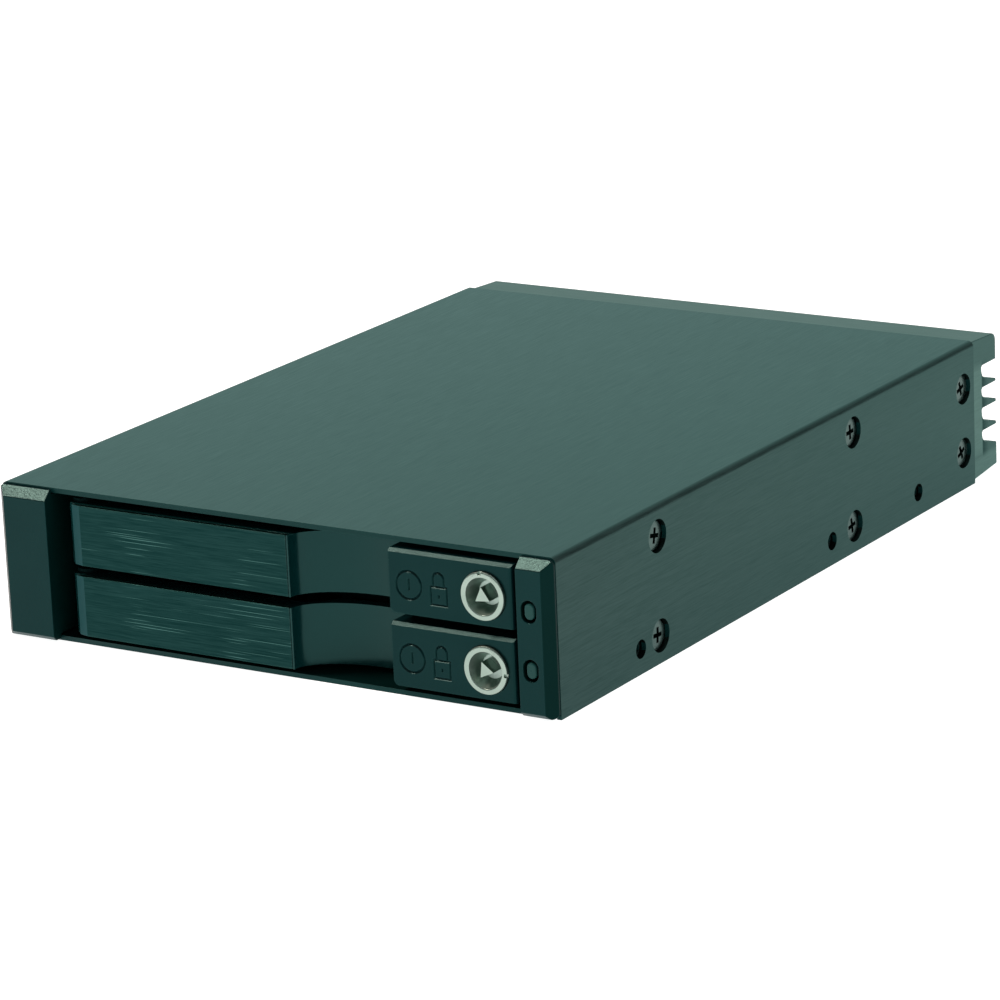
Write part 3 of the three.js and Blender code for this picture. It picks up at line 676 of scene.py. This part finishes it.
def front_post(name, side):
    """Post with its outer, upper and lower front edges planed off at 45 degrees."""
    inner = MOUTH[name]
    outer = side * (HALF - SEAM)
    root = side * (INSIDE - GAP)
    plan = [
        (inner, POST_FRONT), (outer - side * POST_CHAMFER, POST_FRONT), (outer, POST_FRONT + POST_CHAMFER),
        (outer, -SEAM), (root, -SEAM), (root, POST_BACK), (inner, POST_BACK),
    ]
    low, high = GAP, HEIGHT - GAP
    post = prism(f"{name}_post_casting", plan, "z", low, high)
    chamfer = POST_FRONT + POST_CHAMFER
    top_edge = [
        (chamfer + 1, high + 1), (chamfer, high), (POST_FRONT, high - POST_CHAMFER),
        (POST_FRONT - 1, high - POST_CHAMFER - 1), (POST_FRONT - 1, high + 1),
    ]
    foot_edge = [
        (POST_FRONT + POST_FOOT + 1, low - 1), (POST_FRONT + POST_FOOT, low), (POST_FRONT, low + POST_FOOT),
        (POST_FRONT - 1, low + POST_FOOT + 1), (POST_FRONT - 1, low - 1),
    ]
    tools = [
        prism("tool", top_edge, "x", -BEYOND, BEYOND),
        prism("tool", foot_edge, "x", -BEYOND, BEYOND),
        block("tool", (-BEYOND, BEYOND), (-SEAM, 20), (-5, SHEET + GAP)),
        block("tool", (-BEYOND, BEYOND), (-SEAM, 20), (ROOF - GAP, 30)),
        post_corner(outer, low, side, 1),
        post_corner(outer, high, side, -1),
    ]
    if side > 0:
        for level in LEVELS:
            x, z = light_centre(level)
            ring = stadium(x, z, LENS_WIDE + LENS_GROOVE, LENS_TALL + LENS_GROOVE)
            tools.append(prism("tool", ring, "y", POST_FRONT - 2, POST_BACK + 2))
    return soften(cut(post, *tools), 0.14)


for side_name, side_sign in SIDES:
    post = stand_for(front_post(side_name, side_sign), f"{side_name}_post", LOOKS["cast"])
    # Faces turned sideways take the darker copy of the cast black: painted shade.
    dress(post, LOOKS["cast_painted_shade"], lambda face: abs(face.normal.x) > 0.5)
    # The upper front chamfers and the feet take brighter-reflecting copies of the cast black: painted
    # highlight.
    dress(post, LOOKS["cast_painted_highlight"], on_chamfer)
    dress(post, LOOKS["cast_foot_painted_highlight"], lambda face: face.normal.z < -0.5)

for level in LEVELS:
    low, high = span(f"{level}_light_pipe")
    x, z = light_centre(level)
    lens = prism(f"{level}_lens", stadium(x, z, LENS_WIDE, LENS_TALL), "y", low.y, high.y)
    stand_for(soften(lens, 0.3, 4), f"{level}_light_pipe", LOOKS["lens"])
    stand_for(soften(copied(f"{level}_led"), 0.12), f"{level}_led", LOOKS["lamp"])


# ---------------------------------------------------------------- inside and rear

def rear_notch(low, high):
    """Side view of the gap between two fins: flat above, rounded root, floor falling to the rear."""
    def floor_at(y):
        return low + (REAR - y) * FIN_SLOPE

    start = FIN_ROOT + FIN_FILLET
    corner = (FIN_ROOT, floor_at(FIN_ROOT) + 0.05)
    curve = []
    for step in range(13):
        t = step / 12
        y = (1 - t) ** 2 * FIN_ROOT + 2 * t * (1 - t) * corner[0] + t * t * start
        z = (1 - t) ** 2 * (high - 0.3) + 2 * t * (1 - t) * corner[1] + t * t * floor_at(start)
        curve.append((y, z))
    return [(REAR + 1, high), (FIN_ROOT + 0.3, high)] + curve + [(REAR + 1, floor_at(REAR + 1))]


def rear_block():
    """Finned casting behind the shell, with a core inside it and a window right through."""
    flange = DEPTH + GAP
    inner = INSIDE - GAP
    side = [(flange, 0.02), (REAR, FIN_TIPS[0][0])]
    side += arc(REAR - BLOCK_ROUND, FIN_TIPS[-1][1] - BLOCK_ROUND, BLOCK_ROUND, 0, 90)
    side += [(flange, HEIGHT - 0.4)]
    casting = prism("rear_casting", side, "x", -INSIDE, INSIDE)
    core = block("core", (-inner, inner), (BLOCK_LOW.y, flange + 1), (SHEET + GAP, ROOF - GAP))
    join(casting, core)
    tools = []
    for lower, upper in zip(FIN_TIPS, FIN_TIPS[1:]):
        tools.append(prism("tool", rear_notch(lower[1], upper[0]), "x", -BEYOND, BEYOND))
    left, right, low, high = WINDOW
    tools.append(block("tool", (left, right), (BLOCK_LOW.y - 1, REAR + 1), (low, high)))
    centres = sorted(SCREWS["right", number] for number in REAR_SCREWS)
    tools += side_bores(BLOCK_BORE, centres, INSIDE - 6, INSIDE + 1)
    return soften(cut(casting, *tools), 0.16)


rear = stand_for(rear_block(), "rear_block", LOOKS["rear"])
dress(rear, LOOKS["rear_flank"], lambda face: abs(face.normal.x) > 0.9)

COPIES = {
    "left_guide": ("dull", 0.15),
    "right_guide": ("dull", 0.15),
    "backplane_board": ("board", 0.05),
    "lower_drive_socket": ("satin", 0.12),
    "upper_drive_socket": ("satin", 0.12),
    "lower_data_port": ("satin", 0.12),
    "upper_data_port": ("satin", 0.12),
    "power_port": ("satin", 0.12),
}
for level in LEVELS:
    COPIES[f"{level}_tray_carrier"] = ("steel", 0.1)
    COPIES[f"{level}_tray_front"] = ("dull", 0.18)
    COPIES[f"{level}_lock_cam"] = ("steel", 0.12)
for node, (look_name, width) in COPIES.items():
    stand_for(soften(copied(node), width, 2, 32), node, LOOKS[look_name])


def port_contacts(node, count):
    """Gold pads along the upper face of a rear port's tongue."""
    low, high = span(node)
    middle = (low.x + high.x) / 2
    tongue_top = (low.z + high.z) / 2 + TONGUE_RISE
    pads = None
    for index in range(count):
        x = middle + (index - (count - 1) / 2) * CONTACT_PITCH
        pad = block(f"{node}_contacts", (x - CONTACT_HALF, x + CONTACT_HALF), (low.y + 1.8, high.y - 1.3),
                    (tongue_top - 0.05, tongue_top + 0.06))
        pads = pad if pads is None else join(pads, pad)
    soften(pads, 0.03, 2)
    pads.data.materials.append(LOOKS["gold"])
    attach(pads, "housing")


port_contacts("lower_data_port", 7)
port_contacts("upper_data_port", 7)
port_contacts("power_port", 15)


def pan_screw(name, node, head_radius, shank_radius):
    """Small cross-slotted screw along y whose head faces the rear."""
    low, high = span(node)
    at = ((low.x + high.x) / 2, low.y, (low.z + high.z) / 2)
    length = high.y - low.y
    thick = head_radius * 0.65
    profile = [(0, 0), (shank_radius, 0.2), (shank_radius, length - thick), (head_radius, length - thick),
               (head_radius, length - thick * 0.6), (head_radius * 0.6, length - 0.1), (0, length)]
    screw = turned(name, profile, "y", at)
    top = (low.y + length - thick * 0.55, high.y + 1)
    long, short = head_radius * 0.55, 0.22
    cut(screw, block("tool", (at[0] - long, at[0] + long), top, (at[2] - short, at[2] + short)),
        block("tool", (at[0] - short, at[0] + short), top, (at[2] - long, at[2] + long)))
    return soften(screw, 0.08, 2)


for side_name, _ in SIDES:
    for number in (1, 2):
        node = f"board_screw_{side_name}_{number}"
        stand_for(pan_screw(f"{node}_head", node, *BOARD_SCREW), node, LOOKS["steel"])
for level in LEVELS:
    for number in (1, 2):
        node = f"{level}_carrier_screw_{number}"
        stand_for(pan_screw(f"{node}_head", node, *CARRIER_SCREW), node, LOOKS["steel"])
    node = f"{level}_hinge_pin"
    low, high = span(node)
    radius = (high.x - low.x) / 2
    pin = prism(f"{node}_rod", circle(PIVOT[0], PIVOT[1], radius), "z", low.z, high.z)
    stand_for(soften(pin, 0.15), node, LOOKS["steel"])


# ---------------------------------------------------------------- levers

def lever_arm(level):
    """Lever arm: knuckle at the left, flat back, elliptical finger scoop and tip."""
    floor = FLOORS[level]
    skin = FACE + PLATE_THICK + 0.05
    deep = FACE + SCOOP_DEPTH
    behind = deep + LEVER_WALL
    step = PLATE_RIGHT + 0.1
    plan = [(PIVOT[0] + 0.3, skin), (step, skin), (step, FACE), (SCOOP_START, FACE)]
    plan += arc(SCOOP_END, FACE, SCOOP_END - SCOOP_START, 180, 90, 40, SCOOP_DEPTH)[1:]
    plan += [
        (LEVER_TIP, deep), (LEVER_TIP, behind), (SCOOP_END - 1, behind),
        (SCOOP_START + 4.5, FACE + SCOOP_DEPTH * 0.85 + LEVER_WALL),
        (SCOOP_START + 0.5, LEVER_BACK), (PIVOT[0] + 2, LEVER_BACK),
    ]
    plan += arc(PIVOT[0], PIVOT[1], KNUCKLE_RADIUS, 36, 180, 24)
    plan += [(PIVOT[0] - 1.1, skin + 0.5)]
    low, high = floor + LEVER_LOW, floor + LEVER_HIGH
    arm = prism(f"{level}_lever_body", plan, "z", low, high)
    tools = [prism("tool", circle(*PIVOT, PIN_HOLE), "z", low - 1, high + 1)]
    for z in ((low - 1, floor + EAR_HEIGHTS[0]), (floor + EAR_HEIGHTS[1], high + 1)):
        tools.append(prism("tool", circle(*PIVOT, EAR_POCKET), "z", *z))
        tools.append(block("tool", (PIVOT[0] - 4, PIVOT[0] + 2.4), (PIVOT[1], PIVOT[1] + 4), z))
    tools.append(block("tool", *LEVER_POCKET, (low + POCKET_RIM, high - POCKET_RIM)))
    return soften(cut(arm, *tools), 0.12)


def lever_plate(level):
    """Brushed facing, its smooth left end bent slightly back."""
    floor = FLOORS[level]
    back = FACE + PLATE_THICK
    end = PLATE_LOW.x + 0.05
    plan = [(PLATE_FOLD, FACE), (end, FACE + FOLD_SET_BACK), (end, back - 0.05), (-36.4, back),
            (PLATE_RIGHT, back), (PLATE_RIGHT, FACE)]
    plate = prism(f"{level}_facing", plan, "z", floor + LEVER_LOW, floor + LEVER_HIGH)
    soften(plate, 0.08, angle=12)
    return plate


# ---------------------------------------------------------------- lock buttons

def groove(path, closed):
    """Cutting tool for a V groove along a line of (x, z) points on a button's face."""
    section = [(-1, FACE - 0.5), (1, FACE - 0.5), (1, FACE - 0.01), (0, FACE + ICON_DEPTH), (-1, FACE - 0.01)]
    count = len(path)
    points = []
    for i, here in enumerate(path):
        before = Vector(path[i - 1] if closed or i > 0 else here)
        after = Vector(path[(i + 1) % count] if closed or i < count - 1 else here)
        here = Vector(here)
        ways = [way.normalized() for way in (here - before, after - here) if way.length > 0]
        across = [Vector((-way.y, way.x)) for way in ways]
        middle = sum(across, Vector((0, 0))).normalized()
        reach = ICON_LINE / 2 / middle.dot(across[0])
        for side, y in section:
            at = here + middle * side * reach
            points.append((at.x, y, at.y))
    sides = len(section)
    faces = []
    for i in range(count if closed else count - 1):
        one, two = i * sides, (i + 1) % count * sides
        faces += [[one + j, one + (j + 1) % sides, two + (j + 1) % sides, two + j] for j in range(sides)]
    if not closed:
        faces += [list(range(sides)), list(range((count - 1) * sides, count * sides))]
    return solid("tool", points, faces)


def engraved_icons(floor):
    """Cutting tools for the power sign and the padlock on a button's face."""
    x, z = POWER_SIGN[0], floor + POWER_SIGN[1]
    ring = groove(circle(x, z, POWER_RADIUS), True)
    stroke = groove([(x, z + rise) for rise in POWER_STROKE], False)
    x, z = PADLOCK[0], floor + PADLOCK[1]
    left, right = x - PADLOCK_HALF, x + PADLOCK_HALF
    low, top = z - PADLOCK_HALF, z + PADLOCK_HALF
    body = groove([(left, low), (right, low), (right, top), (left, top)], True)
    bow = [(x + BOW_RADIUS, top)] + arc(x, top + BOW_LEGS, BOW_RADIUS, 0, 180, 20) + [(x - BOW_RADIUS, top)]
    keyhole = groove([(x, z + rise) for rise in KEYHOLE], False)
    return [ring, stroke, body, groove(bow, False), keyhole]


def lock_button(level):
    """Button with a chamfered top, rounded right edge, engraved icons and the bore of its lock."""
    floor = FLOORS[level]
    low, high = floor + BUTTON_FLOOR, floor + BUTTON_ROOF
    left, right = BUTTON_LOW.x, BUTTON_HIGH.x
    corner, chamfer = BUTTON_CORNER, BUTTON_CHAMFER
    front = arc(left + BUTTON_FOOT, low + BUTTON_FOOT, BUTTON_FOOT, 180, 270, 10)
    front += [(right, low), (right, high), (left, high)]
    button = prism(f"{level}_button_cap", front, "y", FACE, BUTTON_BACK)
    edge = arc(right - corner, FACE + corner, corner, -90, 0, 10) + [(right + 1, FACE + corner)]
    edge += [(right + 1, FACE - 1), (right - corner, FACE - 1)]
    stem = prism("stem", circle(STEM_X, floor + STEM_Z, STEM_RADIUS), "y", BUTTON_BACK - 0.5, BUTTON_HIGH.y)
    lock = (LOCK_X, floor + LOCK_Z)
    join(button, stem)
    cut(
        button,
        prism("tool", edge, "z", low - 1, high + 1),
        prism("tool", [(FACE - 1, high - chamfer - 1), (FACE, high - chamfer), (FACE + chamfer, high),
                       (FACE + chamfer + 1, high + 1), (FACE - 1, high + 1)], "x", left - 1, right + 1),
        prism("tool", circle(*lock, LOCK_RING + LOCK_GAP, 64), "y", FACE - 1, FACE + 1.2),
        prism("tool", circle(*lock, LOCK_BORE, 64), "y", FACE, BUTTON_BACK + 1),
        *engraved_icons(floor),
    )
    return soften(button, 0.1, 2)


def lock_barrel(level):
    """Turned barrel: bright rim with a notch, conical dish and a three-sided key post."""
    at = (LOCK_X, LOCK_FRONT, FLOORS[level] + LOCK_Z)
    rim = LOCK_RING - LOCK_RIM
    body, body_end = LOCK_BODY
    shaft, shaft_end = LOCK_SHAFT
    profile = [
        (0, DISH_DEPTH), (DISH_FLOOR, DISH_DEPTH), (rim, 0.4), (rim + 0.12, 0.06), (rim + 0.25, 0),
        (LOCK_RING - 0.25, 0), (LOCK_RING - 0.08, 0.06), (LOCK_RING, 0.25), (LOCK_RING, LOCK_HEAD),
        (body, LOCK_HEAD), (body, body_end), (shaft, body_end), (shaft, shaft_end), (0, shaft_end),
    ]
    barrel = turned(f"{level}_barrel_body", profile, "y", at, steps=96)
    turn = -LOCK_TURNS[level]
    post = arc(at[0], at[2], KEY_POST, 90 + turn, 450 + turn, 3)[:-1]
    join(barrel, prism("post", post, "y", LOCK_FRONT, LOCK_FRONT + DISH_DEPTH + 0.2))
    spin = Matrix.Rotation(math.radians(turn), 2)
    inner, outer = LOCK_RING - 0.5, LOCK_RING + 1
    corners = [(-NOTCH_HALF, inner), (NOTCH_HALF, inner), (NOTCH_HALF, outer), (-NOTCH_HALF, outer)]
    notch = [(at[0] + point.x, at[2] + point.y) for point in (spin @ Vector(corner) for corner in corners)]
    cut(barrel, prism("tool", notch, "y", LOCK_FRONT - 1, LOCK_FRONT + NOTCH_DEPTH))
    return soften(barrel, 0.05, 2, 30)


def in_dish(face):
    """True for the sloping wall and the floor of a barrel's dish."""
    depth = face.center.y - SHELL_FRONT - LOCK_FRONT * MM
    return 0.1 * MM < depth < (DISH_DEPTH + 0.2) * MM and face.normal.y < -0.1


def button_spring(level):
    """Coil spring between the button and the tray's wall."""
    low, high = span(f"{level}_button_spring")
    centre = (STEM_X, FLOORS[level] + STEM_Z)
    wire = SPRING_WIRE / 2
    steps, sides = 108, 12
    start, end = low.y + wire, high.y - wire
    points = []
    for i in range(steps + 1):
        t = i / steps
        angle = t * SPRING_TURNS * 2 * math.pi
        out = Vector((math.cos(angle), 0, math.sin(angle)))
        middle = Vector((centre[0], start + (end - start) * t, centre[1])) + out * SPRING_RADIUS
        for j in range(sides):
            around = 2 * math.pi * j / sides
            points.append(middle + out * wire * math.cos(around) + Vector((0, wire * math.sin(around), 0)))
    faces = []
    for i in range(steps):
        one, two = i * sides, (i + 1) * sides
        faces += [[one + j, one + (j + 1) % sides, two + (j + 1) % sides, two + j] for j in range(sides)]
    faces += [list(range(sides)), list(range(steps * sides, (steps + 1) * sides))]
    coil = solid(f"{level}_spring_wire", points, faces)
    coil.data.shade_smooth()
    return coil


def on_plate_end(face):
    """True for the front faces left of a lever plate's fold."""
    return face.center.x < PLATE_FOLD * MM and abs(face.normal.z) < 0.5


for level in LEVELS:
    stand_for(lever_arm(level), f"{level}_lever_arm", LOOKS["gloss"])
    plate = stand_for(lever_plate(level), f"{level}_lever_plate", LOOKS["plate"])
    dress(plate, LOOKS["plate_end"], on_plate_end)
    button = stand_for(lock_button(level), f"{level}_lock_button", LOOKS["satin"])
    # The button's top chamfer takes the duller satin copy: painted shade.
    dress(button, LOOKS["satin_painted_shade"], on_chamfer)
    barrel = stand_for(lock_barrel(level), f"{level}_lock_barrel", LOOKS["chrome"])
    dress(barrel, LOOKS["dish"], in_dish)
    spring = stand_for(button_spring(level), f"{level}_button_spring", LOOKS["steel"])
    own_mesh(spring)


# ---------------------------------------------------------------- camera, floor and light

camera = bpy.data.objects.new("camera", bpy.data.cameras.new("camera"))
bpy.context.scene.collection.objects.link(camera)
camera.data.lens = FOCAL_LENGTH
camera.data.sensor_width = SENSOR_WIDTH
turn = Matrix.Rotation(math.radians(AZIMUTH), 3, "Z")
turn = turn @ Matrix.Rotation(math.radians(90 - ELEVATION), 3, "X")
turn = turn @ Matrix.Rotation(math.radians(ROLL), 3, "Z")
camera.matrix_world = Matrix.Translation(AIM + turn @ Vector((0, 0, DISTANCE))) @ turn.to_4x4()
bpy.context.scene.camera = camera


def floor():
    """White table that glows a little, so that it stays white right up to the enclosure."""
    mesh = bpy.data.meshes.new("floor")
    corners = [(x * FLOOR_REACH, y * FLOOR_REACH, 0) for x, y in ((-1, -1), (1, -1), (1, 1), (-1, 1))]
    mesh.from_pydata(corners, [], [(0, 1, 2, 3)])
    plane = bpy.data.objects.new("floor", mesh)
    bpy.context.scene.collection.objects.link(plane)
    glow = {"Emission_Color": tone(1, 1, 1), "Emission_Strength": 0.96}
    look = Look("light_table", 0.9, Specular_IOR_Level=0.1, **glow)
    cloud = look.noise((3, 3, 3), 2.0)
    look.feed("Base Color", look.blend(cloud, tone(0.48, 0.48, 0.48), tone(0.52, 0.52, 0.52)))
    mesh.materials.append(look.data)


def softbox(name, direction, distance, size, power, colour=(1, 1, 1)):
    """A square area light that hangs in one direction from the enclosure and faces it."""
    data = bpy.data.lights.new(name, "AREA")
    data.size = size
    data.energy = power
    data.color = colour
    lamp = bpy.data.objects.new(name, data)
    bpy.context.scene.collection.objects.link(lamp)
    outward = Vector(direction).normalized()
    lamp.location = outward * distance
    lamp.rotation_euler = outward.to_track_quat("Z", "Y").to_euler()
    lamp.visible_camera = False


floor()
softbox("key_left", (-0.52, -0.28, 0.81), 1.2, 0.28, 9, (1.0, 0.80, 0.71))
softbox("overhead", (0.7, 0.2, 1.0), 1.0, 0.9, 2.6)
softbox("fill_right", (1.0, 0.1, 0.4), 1.2, 0.8, 1.2)


def studio():
    """Dim surroundings with a paler band above the horizon, brightest to the rear left."""
    world = bpy.data.worlds.new("studio")
    world.use_nodes = True
    tree = world.node_tree
    direction = tree.nodes.new("ShaderNodeTexCoord").outputs["Generated"]

    def shine(towards, dark_at, bright_at, strength):
        facing = tree.nodes.new("ShaderNodeVectorMath")
        facing.operation = "DOT_PRODUCT"
        tree.links.new(direction, facing.inputs[0])
        facing.inputs[1].default_value = towards
        glow = tree.nodes.new("ShaderNodeMapRange")
        glow.interpolation_type = "SMOOTHSTEP"
        tree.links.new(facing.outputs["Value"], glow.inputs["Value"])
        glow.inputs["From Min"].default_value = dark_at
        glow.inputs["From Max"].default_value = bright_at
        glow.inputs["To Min"].default_value = 0.12
        glow.inputs["To Max"].default_value = strength
        return glow.outputs["Result"]

    brighter = tree.nodes.new("ShaderNodeMath")
    brighter.operation = "MAXIMUM"
    tree.links.new(shine((-0.37, 0.88, 0.28), 0.50, 1.0, 0.92), brighter.inputs[0])
    tree.links.new(shine((0.0, 0.0, 1.0), 0.68, 0.32, 0.34), brighter.inputs[1])
    tree.links.new(brighter.outputs["Value"], tree.nodes["Background"].inputs["Strength"])
    tree.nodes["Background"].inputs["Color"].default_value = tone(0.95, 1.0, 0.99)
    bpy.context.scene.world = world


studio()
bpy.context.scene.view_settings.view_transform = "Standard"
